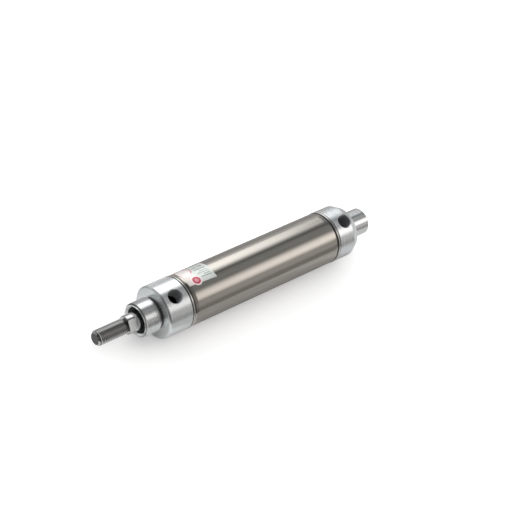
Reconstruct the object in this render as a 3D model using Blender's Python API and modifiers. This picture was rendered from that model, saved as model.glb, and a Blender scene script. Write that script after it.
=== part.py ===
"""Pneumatic cylinder, round, crimped, double acting: 32 mm bore, 80 mm stroke.

Frame: the origin is the centre of the rear boss's end face. +X runs along the
cylinder's axis to the rod's tip, and +Z is the direction that both ports face.
Every turned piece is a profile of (station along X, radius) spun round the
axis. All sizes below are in millimetres and are scaled to metres once.
"""

import math

import bmesh
import bpy
from mathutils import Matrix, Vector

MM = 0.001

# ---------------------------------------------------------------- dimensions
BORE_R = 16.0            # 32 mm bore
WALL = 0.8               # tube wall
TUBE_R = BORE_R + WALL   # 16.8
COVER_R = 17.0           # 34 mm end covers
STROKE = 80.0
GAP = 0.3                # clearance left between neighbouring pieces

BOSS_R = 8.6             # plain rear boss
X_COVER_REAR = 16.5      # back face of the rear cover
X_TUBE_REAR = 33.9       # tube's rear end
X_TUBE_FRONT = 154.4     # tube's front end
X_SHOULDER = 172.5       # front cover's shoulder
X_NOSE = 185.8           # end face of the threaded nose
X_ROD_SHOULDER = 193.5   # rod's step down to its thread
X_TIP = 215.5            # rod's tip

NOSE_R = 11.0            # M22 x 1.5
ROD_R = 6.0              # 12 mm rod
THREAD_R = 5.0           # M10 x 1.25
FLATS_AF = 10.0          # wrench flats across the rod
FLATS_LENGTH = 6.0
FLATS_ANGLE = 28.0       # degrees from +Z towards +Y, with the rod as it rests

PORT_R = 4.285           # G1/8 tapping size
PORT_MOUTH_R = 5.0
X_PORT_REAR = 24.7
X_PORT_FRONT = 163.5

SPIGOT_R = 15.7
SPIGOT_LENGTH = 8.5
CRIMP_OFFSET = 2.2       # middle of the rolled neck, from the tube's end
O_RING_OFFSET = 5.6      # middle of the O-ring groove, from the tube's end
O_RING_CORD_R = 0.65

X_SPIGOT_REAR = X_TUBE_REAR + SPIGOT_LENGTH
X_SPIGOT_FRONT = X_TUBE_FRONT - SPIGOT_LENGTH
BUFFER_STAND = 0.75      # how far each buffer stands out of its cover
BUFFER_SEAT_R = 13.2     # seat turned for the buffer in the spigot's face
BUFFER_SEAT_DEPTH = 1.6
X_PISTON_REAR = X_SPIGOT_REAR + BUFFER_STAND + GAP
X_PISTON_FRONT = X_SPIGOT_FRONT - BUFFER_STAND - GAP - STROKE
STUD_R = 4.0             # M8 end of the rod inside the piston
STUD_BORE_R = STUD_R + GAP
X_STUD_END = 35.8

CAVITY_R = 8.6           # air space round the rod in the front cover
BUSH_POCKET_R = 7.3
SEAL_POCKET_R = 8.3
X_BUSH_POCKET = 168.1
X_SEAL_POCKET = 176.6
PORT_BOTTOM_FRONT = 7.2

AIR_WAY_R = 3.5          # from the rear port to the cylinder's space
X_AIR_WAY = 20.0
NUT_POCKET_R = 8.4
X_NUT_POCKET = 35.0
PORT_BOTTOM_REAR = 0.4

PISTON_R = 15.5
PISTON_HUB_R = 9.0
SEAL_GROOVE_R = 11.6
SEAL_GROOVE = (1.5, 5.4)  # from each half's outer face
REAR_HALF_LENGTH = 7.2
MIDDLE_LENGTH = 6.5       # between the two halves' rims
NUT_HEIGHT = 5.0
NUT_AF = 13.0
WASHER_THICKNESS = 1.2

LABEL_X = (129.5, 150.5)
LABEL_ANGLES = (-62.0, -3.0)   # from +Z, negative towards -Y

ROUND = 36               # sides of the large turned pieces
SMALL = 24               # sides of the small ones


# Colour, roughness and metalness of each kind of finish.
STAINLESS = ((0.62, 0.60, 0.57), 0.22, 1.0)
SATIN_ALUMINIUM = ((0.80, 0.81, 0.83), 0.30, 1.0)
MACHINED_ALUMINIUM = ((0.75, 0.75, 0.76), 0.35, 1.0)
CHROMED_STEEL = ((0.70, 0.70, 0.70), 0.12, 1.0)
ZINC_PLATED_STEEL = ((0.60, 0.61, 0.62), 0.35, 1.0)
SINTERED_BRONZE = ((0.55, 0.38, 0.20), 0.45, 1.0)
NITRILE = ((0.02, 0.02, 0.02), 0.60, 0.0)
POLYURETHANE = ((0.05, 0.05, 0.05), 0.50, 0.0)
BUFFER_RUBBER = ((0.06, 0.06, 0.06), 0.70, 0.0)
BONDED_MAGNET = ((0.10, 0.10, 0.11), 0.55, 0.2)
GUIDE_RESIN = ((0.80, 0.79, 0.74), 0.45, 0.0)
LABEL_FILM = ((0.80, 0.82, 0.80), 0.35, 0.0)


# ------------------------------------------------------------------- helpers
def clear_scene():
    for obj in list(bpy.data.objects):
        bpy.data.objects.remove(obj, do_unlink=True)
    for group in list(bpy.data.collections):
        bpy.data.collections.remove(group)


def new_collection(name):
    group = bpy.data.collections.new(name)
    bpy.context.scene.collection.children.link(group)
    return group


def material(name, colour, roughness, metallic):
    mat = bpy.data.materials.new(name)
    mat.use_nodes = True
    shader = mat.node_tree.nodes["Principled BSDF"]
    shader.inputs["Base Color"].default_value = (*colour, 1.0)
    shader.inputs["Roughness"].default_value = roughness
    shader.inputs["Metallic"].default_value = metallic
    mat.diffuse_color = (*colour, 1.0)
    return mat


def finish(obj, look, angle=30.0):
    """Gives a piece a material of its own and smooth shading with sharp edges."""
    obj.data.materials.clear()
    obj.data.materials.append(material(obj.name + "_material", *look))
    obj.data.shade_smooth()
    obj.data.set_sharp_from_angle(angle=math.radians(angle))


def along_x():
    """Turns a shape spun round Z so that its Z becomes the world's X."""
    return Matrix.Rotation(math.pi / 2, 4, "Y")


def turned_mesh(name, profile, sides, closed):
    """The mesh of a profile spun round local Z.

    The profile is (station, radius) pairs. It runs from the high station to
    the low one on the outside, and back up on the inside when it is a ring.
    """
    mesh = bpy.data.meshes.new(name + "_profile")
    points = [(radius * MM, 0.0, station * MM) for station, radius in profile]
    edges = [(i, i + 1) for i in range(len(points) - 1)]
    if closed:
        edges.append((len(points) - 1, 0))
    mesh.from_pydata(points, edges, [])
    guide = bpy.data.objects.new(name + "_profile", mesh)
    bpy.context.scene.collection.objects.link(guide)
    screw = guide.modifiers.new("Turn", "SCREW")
    screw.axis = "Z"
    screw.angle = 2 * math.pi
    screw.screw_offset = 0.0
    screw.steps = sides
    screw.render_steps = sides
    screw.use_merge_vertices = True
    screw.merge_threshold = 1e-6
    screw.use_smooth_shade = True
    graph = bpy.context.evaluated_depsgraph_get()
    result = bpy.data.meshes.new_from_object(guide.evaluated_get(graph))
    bpy.data.objects.remove(guide, do_unlink=True)
    bpy.data.meshes.remove(mesh)
    result.name = name
    return result


def turned(name, profile, look, group, sides=ROUND, closed=True, origin_x=0.0):
    """A turned piece on the cylinder's axis, with its origin at origin_x."""
    shifted = [(station - origin_x, radius) for station, radius in profile]
    mesh = turned_mesh(name, shifted, sides, closed)
    mesh.transform(along_x())
    obj = bpy.data.objects.new(name, mesh)
    obj.location = (origin_x * MM, 0.0, 0.0)
    group.objects.link(obj)
    finish(obj, look)
    return obj


def ring(x0, x1, inner, outer, chamfer=0.2):
    """Profile of a plain ring with broken outer edges."""
    return [
        (x1, inner),
        (x1, outer - chamfer),
        (x1 - chamfer, outer),
        (x0 + chamfer, outer),
        (x0, outer - chamfer),
        (x0, inner),
    ]


def cutter(name, mesh_object, group):
    mesh_object.name = name
    mesh_object.hide_render = True
    mesh_object.display_type = "WIRE"
    group.objects.link(mesh_object)
    return mesh_object


def cut(obj, tool, operation="DIFFERENCE"):
    mod = obj.modifiers.new("Cut " + tool.name, "BOOLEAN")
    mod.operation = operation
    mod.solver = "EXACT"
    mod.object = tool
    return mod


def turned_cutter(name, profile, location, group, sides=20):
    """A turned cutter round its own Z, set down at a place in millimetres."""
    mesh = turned_mesh(name, profile, sides, closed=False)
    obj = bpy.data.objects.new(name, mesh)
    obj.location = Vector(location) * MM
    return cutter(name, obj, group)


def box_cutter(name, size, centre, group, roll=0.0):
    """A box cutter, rolled round the X axis by an angle in degrees."""
    mesh = bpy.data.meshes.new(name)
    bm = bmesh.new()
    bmesh.ops.create_cube(bm, size=1.0)
    bmesh.ops.scale(bm, vec=Vector(size) * MM, verts=bm.verts)
    bmesh.ops.translate(bm, vec=Vector(centre) * MM, verts=bm.verts)
    bmesh.ops.rotate(bm, cent=(0, 0, 0), matrix=Matrix.Rotation(math.radians(roll), 3, "X"), verts=bm.verts)
    bm.to_mesh(mesh)
    bm.free()
    obj = bpy.data.objects.new(name, mesh)
    return cutter(name, obj, group)


def port_profile(surface, depth, mouth_r=PORT_MOUTH_R, bore_r=PORT_R):
    """Tapped port: a straight bore with a countersunk mouth, from the top down."""
    sink = mouth_r - bore_r
    above = surface + 3.0
    return [
        (above, 0.0),
        (above, mouth_r + 0.001),
        (surface, mouth_r),
        (surface - sink, bore_r),
        (depth, bore_r),
        (depth, 0.0),
    ]


# -------------------------------------------------------- the fixed pieces
def make_barrel(group, look):
    """Thin stainless tube. Each end is rolled down into a neck that locks in
    the cover's groove, and the lip outside the neck stands slightly proud."""
    lip = 17.05
    neck_out, neck_in = 16.4, 15.65

    def end(x_end, inward):
        outer, inner = [], []
        for offset, radius in (
            (0.0, lip - 0.25),
            (0.25, lip),
            (0.95, lip),
            (1.35, TUBE_R - 0.1),
            (CRIMP_OFFSET - 0.25, neck_out),
            (CRIMP_OFFSET + 0.25, neck_out),
            (CRIMP_OFFSET + 1.1, TUBE_R),
        ):
            outer.append((x_end + inward * offset, radius))
        for offset, radius in (
            (0.0, BORE_R + 0.1),
            (CRIMP_OFFSET - 1.1, BORE_R),
            (CRIMP_OFFSET - 0.25, neck_in),
            (CRIMP_OFFSET + 0.25, neck_in),
            (CRIMP_OFFSET + 1.1, BORE_R),
        ):
            inner.append((x_end + inward * offset, radius))
        return outer, inner

    front_out, front_in = end(X_TUBE_FRONT, -1)
    rear_out, rear_in = end(X_TUBE_REAR, 1)
    profile = front_out + rear_out[::-1] + rear_in + front_in[::-1]
    return turned("barrel", profile, look, group)


def spigot_outside(x_tube_end, inward):
    """Outside of a cover's spigot, from its root in the flange to its face:
    the crimp groove, then the O-ring groove."""
    neck_r = SPIGOT_R - 0.65
    cord_floor_r = SPIGOT_R - 2 * O_RING_CORD_R - 0.35
    half = O_RING_CORD_R + 0.3
    stations = [
        (-GAP, SPIGOT_R),
        (CRIMP_OFFSET - 1.2, SPIGOT_R),
        (CRIMP_OFFSET - 0.45, neck_r),
        (CRIMP_OFFSET + 0.45, neck_r),
        (CRIMP_OFFSET + 1.2, SPIGOT_R),
        (O_RING_OFFSET - half, SPIGOT_R),
        (O_RING_OFFSET - half, cord_floor_r),
        (O_RING_OFFSET + half, cord_floor_r),
        (O_RING_OFFSET + half, SPIGOT_R),
        (SPIGOT_LENGTH - 0.5, SPIGOT_R),
        (SPIGOT_LENGTH, SPIGOT_R - 0.5),
    ]
    return [(x_tube_end + inward * offset, radius) for offset, radius in stations]


def make_front_end_cover(group, cutters, look):
    """Rod-side cover: flange, threaded nose, spigot in the tube, and a bore
    that holds the bush, the rod seal and the wiper."""
    chamfer = 1.0
    profile = [
        (X_NOSE - 0.5, SEAL_POCKET_R),
        (X_NOSE, SEAL_POCKET_R + 0.5),
        (X_NOSE, NOSE_R - 0.9),
        (X_NOSE - 0.9, NOSE_R),
        (X_SHOULDER, NOSE_R),
        (X_SHOULDER, COVER_R - chamfer),
        (X_SHOULDER - chamfer, COVER_R),
        (X_TUBE_FRONT + GAP + 0.4, COVER_R),
        (X_TUBE_FRONT + GAP, COVER_R - 0.4),
        *spigot_outside(X_TUBE_FRONT, -1),
        (X_SPIGOT_FRONT, BUFFER_SEAT_R),
        (X_SPIGOT_FRONT + BUFFER_SEAT_DEPTH, BUFFER_SEAT_R),
        (X_SPIGOT_FRONT + BUFFER_SEAT_DEPTH, CAVITY_R),
        (X_BUSH_POCKET, CAVITY_R),
        (X_BUSH_POCKET, BUSH_POCKET_R),
        (X_SEAL_POCKET, BUSH_POCKET_R),
        (X_SEAL_POCKET, SEAL_POCKET_R),
    ]
    obj = turned("front_end_cover", profile, look, group)
    port = turned_cutter(
        "cut_front_port", port_profile(COVER_R - 0.35, PORT_BOTTOM_FRONT), (X_PORT_FRONT, 0, 0), cutters
    )
    cut(obj, port)
    return obj


def make_rear_end_cover(group, cutters, look):
    """Blind-side cover: plain boss, flange that tapers towards it, spigot in
    the tube, and a pocket that clears the piston's nut."""
    taper_length, taper_drop = 5.0, 2.7
    x_flange_front = X_TUBE_REAR - GAP
    profile = [
        (X_AIR_WAY, 0.0),
        (X_AIR_WAY, AIR_WAY_R),
        (X_NUT_POCKET, AIR_WAY_R),
        (X_NUT_POCKET, NUT_POCKET_R),
        (X_SPIGOT_REAR - BUFFER_SEAT_DEPTH, NUT_POCKET_R),
        (X_SPIGOT_REAR - BUFFER_SEAT_DEPTH, BUFFER_SEAT_R),
        (X_SPIGOT_REAR, BUFFER_SEAT_R),
        *spigot_outside(X_TUBE_REAR, 1)[::-1],
        (x_flange_front, COVER_R - 0.4),
        (x_flange_front - 0.4, COVER_R),
        (X_COVER_REAR + taper_length, COVER_R),
        (X_COVER_REAR, COVER_R - taper_drop),
        (X_COVER_REAR, BOSS_R),
        (1.0, BOSS_R),
        (0.0, BOSS_R - 1.0),
        (0.0, 0.0),
    ]
    obj = turned("rear_end_cover", profile, look, group, closed=False)
    port = turned_cutter(
        "cut_rear_port", port_profile(COVER_R - 0.35, PORT_BOTTOM_REAR), (X_PORT_REAR, 0, 0), cutters
    )
    cut(obj, port)
    return obj


def make_torus(name, x, centre_r, cord_r, look, group, sides=ROUND, cord_sides=6):
    profile = []
    for i in range(cord_sides):
        # Starts at the high station and goes outwards first.
        t = 2 * math.pi * (i + 0.5) / cord_sides
        profile.append((x + cord_r * math.cos(t), centre_r + cord_r * math.sin(t)))
    return turned(name, profile, look, group, sides=sides)


def make_label(group, look):
    """Thin sticker that follows the barrel."""
    rows, columns = 6, 20
    inner = TUBE_R + GAP
    mesh = bpy.data.meshes.new("identification_label")
    bm = bmesh.new()
    bmesh.ops.create_grid(bm, x_segments=rows, y_segments=columns, size=0.5)
    for vert in bm.verts:
        u, v = vert.co.x + 0.5, vert.co.y + 0.5
        x = LABEL_X[0] + u * (LABEL_X[1] - LABEL_X[0])
        t = math.radians(LABEL_ANGLES[0] + v * (LABEL_ANGLES[1] - LABEL_ANGLES[0]))
        vert.co = Vector((x, inner * math.sin(t), inner * math.cos(t))) * MM
    bmesh.ops.recalc_face_normals(bm, faces=bm.faces)
    up = sum((face.normal.dot(face.calc_center_median()) for face in bm.faces))
    if up < 0:
        bmesh.ops.reverse_faces(bm, faces=bm.faces)
    bm.to_mesh(mesh)
    bm.free()
    obj = bpy.data.objects.new("identification_label", mesh)
    group.objects.link(obj)
    solid = obj.modifiers.new("Thickness", "SOLIDIFY")
    solid.thickness = 0.12 * MM
    solid.offset = 1.0
    finish(obj, look)
    return obj


# -------------------------------------------------------- the moving pieces
def make_rod(group, cutters, look):
    """Chromed rod: M8 stud through the piston, 12 mm shaft, wrench flats and
    an M10 x 1.25 threaded end."""
    x_step = X_PISTON_FRONT + GAP
    profile = [
        (X_TIP, 0.0),
        (X_TIP, THREAD_R - 1.0),
        (X_TIP - 1.0, THREAD_R),
        (X_ROD_SHOULDER, THREAD_R),
        (X_ROD_SHOULDER, ROD_R - 0.4),
        (X_ROD_SHOULDER - 0.4, ROD_R),
        (x_step, ROD_R),
        (x_step, STUD_R),
        (X_STUD_END + 0.6, STUD_R),
        (X_STUD_END, STUD_R - 0.6),
        (X_STUD_END, 0.0),
    ]
    obj = turned("piston_rod", profile, look, group, sides=SMALL, closed=False)
    half = FLATS_AF / 2
    for side, name in ((1, "cut_flat_a"), (-1, "cut_flat_b")):
        tool = box_cutter(
            name,
            (FLATS_LENGTH + 2.0, 16.0, 4.0),
            (X_ROD_SHOULDER - FLATS_LENGTH + (FLATS_LENGTH + 2.0) / 2, 0.0, side * (half + 2.0)),
            cutters,
            roll=-FLATS_ANGLE,
        )
        cut(obj, tool)
    return obj


def make_piston(group, cutters):
    """Two-piece aluminium piston with a magnet and a guide ring clamped
    between the halves, a lip seal in each half, and its washer and nut."""
    rear, front = X_PISTON_REAR, X_PISTON_FRONT
    end = rear + REAR_HALF_LENGTH
    start = end + MIDDLE_LENGTH
    rear_groove = (rear + SEAL_GROOVE[0], rear + SEAL_GROOVE[1])
    front_groove = (front - SEAL_GROOVE[1], front - SEAL_GROOVE[0])
    turned("piston_rear_half", [
        (end, STUD_BORE_R),
        (end, PISTON_R),
        (rear_groove[1], PISTON_R),
        (rear_groove[1], SEAL_GROOVE_R),
        (rear_groove[0], SEAL_GROOVE_R),
        (rear_groove[0], PISTON_R),
        (rear + 0.3, PISTON_R),
        (rear, PISTON_R - 0.3),
        (rear, STUD_BORE_R),
    ], MACHINED_ALUMINIUM, group, origin_x=rear)

    cord_r, cord_centre_r = 0.6, 4.9
    cord_way = (start + 1.6, start + 3.6)
    turned("piston_front_half", [
        (front, STUD_BORE_R),
        (front, PISTON_R - 0.3),
        (front - 0.3, PISTON_R),
        (front_groove[1], PISTON_R),
        (front_groove[1], SEAL_GROOVE_R),
        (front_groove[0], SEAL_GROOVE_R),
        (front_groove[0], PISTON_R),
        (start, PISTON_R),
        (start, PISTON_HUB_R),
        (end + GAP, PISTON_HUB_R),
        (end + GAP, STUD_BORE_R),
        (cord_way[0], STUD_BORE_R),
        (cord_way[0], cord_centre_r + cord_r + GAP),
        (cord_way[1], cord_centre_r + cord_r + GAP),
        (cord_way[1], STUD_BORE_R),
    ], MACHINED_ALUMINIUM, group, origin_x=start)
    make_torus("piston_stud_o_ring", sum(cord_way) / 2, cord_centre_r, cord_r, NITRILE, group, sides=SMALL)

    middle = (end + GAP, start - GAP)
    turned("piston_magnet", ring(*middle, PISTON_HUB_R + GAP, 13.3), BONDED_MAGNET, group, sides=SMALL)
    turned("piston_guide_ring", ring(*middle, 13.6, BORE_R - GAP), GUIDE_RESIN, group)

    def lip_seal(name, x_back, mouth):
        """A solid heel with two lips that open towards the pressure."""
        points = [
            (0.0, SEAL_GROOVE_R + GAP), (0.0, 14.9), (1.0, 15.2), (2.5, 15.7), (3.2, 15.55),
            (2.9, 14.8), (1.7, 13.8), (2.9, 12.8), (3.2, SEAL_GROOVE_R + GAP),
        ]
        line = [(x_back + mouth * offset, radius) for offset, radius in points]
        turned(name, line[::-1] if mouth > 0 else line, POLYURETHANE, group)

    lip_seal("piston_seal_rear", rear_groove[1] - GAP, -1)
    lip_seal("piston_seal_front", front_groove[0] + GAP, 1)

    washer = (rear - GAP - WASHER_THICKNESS, rear - GAP)
    turned("piston_washer", ring(*washer, STUD_BORE_R, 7.9, 0.15), ZINC_PLATED_STEEL, group, sides=SMALL)
    nut_x = (washer[0] - GAP - NUT_HEIGHT, washer[0] - GAP)
    nut = turned("piston_nut", ring(*nut_x, STUD_BORE_R, NUT_AF / 2 * 1.153, 0.5), ZINC_PLATED_STEEL, group, sides=SMALL)
    for i in range(6):
        tool = box_cutter(
            "cut_nut_%d" % i,
            (NUT_HEIGHT + 2.0, 14.0, 4.0),
            (sum(nut_x) / 2, 0.0, NUT_AF / 2 + 2.0),
            cutters,
            roll=60.0 * i,
        )
        cut(nut, tool)


def main():
    clear_scene()
    parts = new_collection("pneumatic_cylinder")
    cutters = new_collection("cutters")

    make_barrel(parts, STAINLESS)
    make_front_end_cover(parts, cutters, SATIN_ALUMINIUM)
    make_rear_end_cover(parts, cutters, SATIN_ALUMINIUM)
    make_label(parts, LABEL_FILM)

    # Static seals between the covers and the tube.
    cord_r = O_RING_CORD_R
    centre_r = SPIGOT_R - cord_r
    make_torus("front_cover_o_ring", X_TUBE_FRONT - O_RING_OFFSET, centre_r, cord_r, NITRILE, parts)
    make_torus("rear_cover_o_ring", X_TUBE_REAR + O_RING_OFFSET, centre_r, cord_r, NITRILE, parts)

    # Elastic end buffers in the covers' inner faces.
    turned("front_buffer", ring(X_SPIGOT_FRONT - BUFFER_STAND, X_SPIGOT_FRONT + 1.3, 8.9, BUFFER_SEAT_R - GAP), BUFFER_RUBBER, parts, sides=SMALL)
    turned("rear_buffer", ring(X_SPIGOT_REAR - 1.3, X_SPIGOT_REAR + BUFFER_STAND, 8.9, BUFFER_SEAT_R - GAP), BUFFER_RUBBER, parts, sides=SMALL)

    # The rod's guide and seals, inside the nose.
    turned("rod_bearing_bush", ring(X_BUSH_POCKET + GAP, X_SEAL_POCKET - GAP, ROD_R + GAP, 7.0), SINTERED_BRONZE, parts, sides=SMALL)
    x = X_SEAL_POCKET + GAP
    turned("rod_seal", [
        (x + 2.8, 6.5), (x + 2.8, 8.0), (x + 1.2, 8.0), (x, 7.9), (x + 0.2, 7.5), (x + 1.4, 7.15),
        (x + 0.2, 6.8), (x, 6.3), (x + 1.2, 6.4),
    ], POLYURETHANE, parts, sides=SMALL)
    x += 2.8 + GAP
    turned("seal_backing_washer", ring(x, x + 0.7, ROD_R + 0.4, 8.0, 0.1), ZINC_PLATED_STEEL, parts, sides=SMALL)
    x += 0.7 + GAP
    turned("rod_wiper", [
        (x + 2.1, 6.3), (x + 2.1, 6.55), (x + 1.2, 7.1), (x + 1.4, 7.5), (x + 1.4, 8.0), (x, 8.0), (x, 6.5), (x + 1.2, 6.4),
    ], NITRILE, parts, sides=SMALL)

    make_rod(parts, cutters, CHROMED_STEEL)
    make_piston(parts, cutters)


main()
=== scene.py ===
"""Looks for the round pneumatic cylinder: finer meshes and materials round the
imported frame. All sizes in the tables are millimetres; MM turns them to metres.
The axis is the row's X. Angles round it are measured from +Z towards +Y.
"""

import math

import bmesh
import bpy
import numpy as np
from mathutils import Matrix, Vector


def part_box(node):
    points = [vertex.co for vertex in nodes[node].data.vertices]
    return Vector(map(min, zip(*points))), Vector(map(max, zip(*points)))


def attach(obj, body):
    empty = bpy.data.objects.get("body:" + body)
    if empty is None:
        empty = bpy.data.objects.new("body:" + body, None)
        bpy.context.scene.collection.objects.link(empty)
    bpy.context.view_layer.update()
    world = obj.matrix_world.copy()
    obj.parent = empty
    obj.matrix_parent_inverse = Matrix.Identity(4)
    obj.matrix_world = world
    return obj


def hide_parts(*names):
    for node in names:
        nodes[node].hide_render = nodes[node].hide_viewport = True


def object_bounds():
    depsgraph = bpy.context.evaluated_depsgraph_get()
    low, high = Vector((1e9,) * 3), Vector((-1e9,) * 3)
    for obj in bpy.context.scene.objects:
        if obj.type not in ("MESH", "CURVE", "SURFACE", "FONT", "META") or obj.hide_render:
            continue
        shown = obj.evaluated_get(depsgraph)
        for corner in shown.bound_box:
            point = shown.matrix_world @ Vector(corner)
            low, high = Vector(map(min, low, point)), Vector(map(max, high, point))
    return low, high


MM = 0.001
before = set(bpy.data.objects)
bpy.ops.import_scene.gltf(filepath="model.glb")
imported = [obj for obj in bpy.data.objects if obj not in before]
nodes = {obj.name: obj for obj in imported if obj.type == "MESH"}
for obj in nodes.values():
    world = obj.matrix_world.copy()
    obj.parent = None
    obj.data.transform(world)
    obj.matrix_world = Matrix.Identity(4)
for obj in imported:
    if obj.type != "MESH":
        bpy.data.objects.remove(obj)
cad_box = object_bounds()

# ------------------------------------------------------------- main stations
lo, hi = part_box("barrel")
X_TUBE_REAR, X_TUBE_FRONT = lo.x / MM, hi.x / MM
TUBE_LIP_R = hi.y / MM
BORE_R, TUBE_R = 16.0, 16.8
lo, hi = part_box("front_end_cover")
X_SPIGOT_FRONT, X_NOSE = lo.x / MM, hi.x / MM
COVER_R = hi.y / MM
lo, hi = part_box("rear_end_cover")
X_BOSS, X_SPIGOT_REAR = lo.x / MM, hi.x / MM
X_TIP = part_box("piston_rod")[1].x / MM
X_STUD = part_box("piston_rod")[0].x / MM

X_COVER_REAR = 16.5
X_SHOULDER = 172.5
X_ROD_SHOULDER = 193.5
X_PISTON_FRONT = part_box("piston_front_half")[1].x / MM
X_PORT_REAR, X_PORT_FRONT = 24.7, 163.5
GAP = 0.3
BOSS_R, NOSE_R, ROD_R, THREAD_R = 8.6, 11.0, 6.0, 5.0
SEAL_POCKET_R, BUSH_POCKET_R, CAVITY_R = 8.3, 7.3, 8.6
X_BUSH_POCKET, X_SEAL_POCKET = 168.1, 176.6
SEGS = 144


# ------------------------------------------------------------ mesh functions
def fillet(profile, radius=0.12, steps=2, closed=True):
    """Rounds each corner of a profile a little, as every real edge is."""
    out = []
    n = len(profile)
    for i, (x, r) in enumerate(profile):
        if not closed and i in (0, n - 1):
            out.append((x, r))
            continue
        here = Vector((x, r))
        before = Vector(profile[i - 1]) - here
        after = Vector(profile[(i + 1) % n]) - here
        la, lb = before.length, after.length
        if la < 1e-6 or lb < 1e-6:
            out.append((x, r))
            continue
        turn = math.pi - before.angle(after)
        if turn < math.radians(14):
            out.append((x, r))
            continue
        reach = min(radius, la * 0.35, lb * 0.35)
        a = here + before / la * reach
        b = here + after / lb * reach
        for k in range(steps + 1):
            t = k / steps
            p = (1 - t) ** 2 * a + 2 * t * (1 - t) * here + t**2 * b
            out.append((p.x, p.y))
    return out


def ring_points(bm, x, r, segs):
    if r < 1e-6:
        return [bm.verts.new((x * MM, 0.0, 0.0))]
    made = []
    for j in range(segs):
        t = 2 * math.pi * j / segs
        made.append(bm.verts.new((x * MM, r * math.cos(t) * MM, r * math.sin(t) * MM)))
    return made


def join_rings(bm, a, b):
    n = max(len(a), len(b))
    for j in range(n):
        k = (j + 1) % n
        if len(a) == 1 and len(b) == 1:
            continue
        if len(a) == 1:
            bm.faces.new((a[0], b[k], b[j]))
        elif len(b) == 1:
            bm.faces.new((a[j], a[k], b[0]))
        else:
            bm.faces.new((a[j], a[k], b[k], b[j]))


def lathe(bm, profile, segs=SEGS, closed=True):
    rings = [ring_points(bm, x, r, segs) for x, r in profile]
    for a, b in zip(rings, rings[1:]):
        join_rings(bm, a, b)
    if closed:
        join_rings(bm, rings[-1], rings[0])
    return rings


THREAD_PHASES = (0.0, 0.0625, 0.125, 0.23, 0.333, 0.4375, 0.5625, 0.6875, 0.79, 0.9)


def thread_depth(phase):
    """0 on the crest, 1 at the root, for a 60 degree thread with flats."""
    if phase <= 0.125:
        return 0.0
    if phase < 0.4375:
        return (phase - 0.125) / 0.3125
    if phase <= 0.6875:
        return 1.0
    return 1.0 - (phase - 0.6875) / 0.3125


def helix(bm, x0, x1, pitch, radius_at, segs=SEGS):
    """A right-hand threaded surface from x0 to x1. radius_at(x, depth) has one
    value at each end whatever the depth, so the ends close to plain rings."""
    per = len(THREAD_PHASES)
    turns = int(math.ceil((x1 - x0) / pitch)) + 2
    rows = turns * per
    grid = []
    for k in range(rows + 1):
        base = x0 - pitch + (k // per + THREAD_PHASES[k % per]) * pitch
        depth = thread_depth(THREAD_PHASES[k % per])
        line = []
        for j in range(segs):
            x = min(max(base + pitch * j / segs, x0), x1)
            r = radius_at(x, depth)
            t = 2 * math.pi * j / segs
            line.append(bm.verts.new((x * MM, r * math.cos(t) * MM, r * math.sin(t) * MM)))
        grid.append(line)
    for k in range(rows):
        for j in range(segs - 1):
            bm.faces.new((grid[k][j], grid[k][j + 1], grid[k + 1][j + 1], grid[k + 1][j]))
        if k + 1 + per <= rows:
            bm.faces.new((grid[k][-1], grid[k + per][0], grid[k + 1 + per][0], grid[k + 1][-1]))


def finish_mesh(bm, name, angle=28.0, weld=2e-6):
    bmesh.ops.remove_doubles(bm, verts=bm.verts, dist=weld)
    bmesh.ops.dissolve_degenerate(bm, edges=bm.edges, dist=1e-7)
    loose = [v for v in bm.verts if not v.link_faces]
    if loose:
        bmesh.ops.delete(bm, geom=loose, context="VERTS")
    bmesh.ops.recalc_face_normals(bm, faces=bm.faces)
    mesh = bpy.data.meshes.new(name)
    bm.to_mesh(mesh)
    bm.free()
    mesh.shade_smooth()
    mesh.set_sharp_from_angle(angle=math.radians(angle))
    obj = bpy.data.objects.new(name, mesh)
    bpy.context.scene.collection.objects.link(obj)
    return obj


def tidy(obj):
    """Clears the slivers with no area that a cut leaves along its edge."""
    bm = bmesh.new()
    bm.from_mesh(obj.data)
    bmesh.ops.remove_doubles(bm, verts=bm.verts, dist=1e-6)
    bmesh.ops.triangulate(bm, faces=bm.faces)
    for _ in range(4):
        thin = []
        for face in bm.faces:
            longest = max(face.edges, key=lambda e: e.calc_length())
            if face.calc_area() < longest.calc_length() * 1.5e-8:
                thin.append(longest)
        if not thin:
            break
        bmesh.ops.dissolve_edges(bm, edges=list(set(thin)), use_verts=False)
        bmesh.ops.triangulate(bm, faces=[f for f in bm.faces if len(f.verts) > 3])
    bmesh.ops.dissolve_degenerate(bm, edges=bm.edges, dist=1e-7)
    bmesh.ops.triangulate(bm, faces=[f for f in bm.faces if len(f.verts) > 3])
    bm.to_mesh(obj.data)
    bm.free()
    return obj


def boolean(obj, tool, operation="DIFFERENCE"):
    mod = obj.modifiers.new("cut", "BOOLEAN")
    mod.operation = operation
    mod.solver = "EXACT"
    mod.object = tool
    graph = bpy.context.evaluated_depsgraph_get()
    result = bpy.data.meshes.new_from_object(obj.evaluated_get(graph))
    obj.modifiers.clear()
    old = obj.data
    obj.data = result
    result.name = obj.name
    bpy.data.meshes.remove(old)
    bpy.data.objects.remove(tool, do_unlink=True)
    return tidy(obj)


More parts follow.
